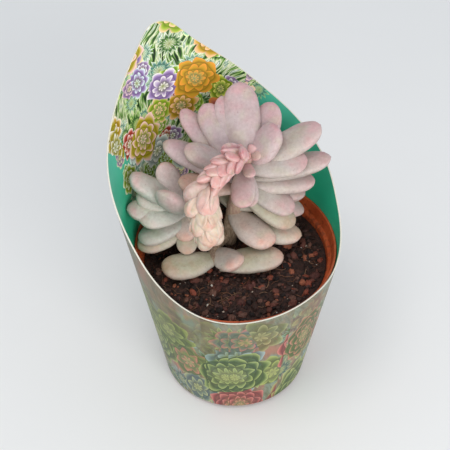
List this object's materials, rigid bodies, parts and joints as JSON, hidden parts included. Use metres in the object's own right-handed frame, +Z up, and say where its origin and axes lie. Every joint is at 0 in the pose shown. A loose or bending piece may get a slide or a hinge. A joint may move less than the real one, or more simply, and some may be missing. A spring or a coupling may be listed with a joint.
{
  "type": "potted pachyphytum",
  "caption": "Fat-leaved rosette succulent with a smaller side rosette and a nodding flower stalk, in a thin tapered nursery pot inside a card sleeve with a tall pointed back.",
  "frame": {"origin": "middle of the pot's base, on the surface that it stands on", "axes": "+Z up; +Y towards the tall back of the sleeve, -Y towards its low front"},
  "size_m": [0.1169, 0.1239, 0.1895],
  "materials": {
    "pot_plastic": "terracotta-coloured thin plastic, satin",
    "potting_soil": "moist dark peat and bark potting mix, rough",
    "printed_card": null,
    "main_leaves": "mauve-grey waxy leaves with a matt bloom and pinker tips",
    "side_leaves": "pale grey-green waxy leaves with a matt bloom",
    "stalk_and_bracts": "salmon-pink stalk and bracts, satin",
    "buds": "cream and peach flower buds, matt"
  },
  "bodies": {
    "root": {"pot": "pot_plastic", "soil": "potting_soil", "sleeve": "printed_card", "main_rosette": "main_leaves", "side_rosette": "side_leaves", "flower_stalk": "stalk_and_bracts", "flower_buds": "buds"}
  },
  "joints": []
}
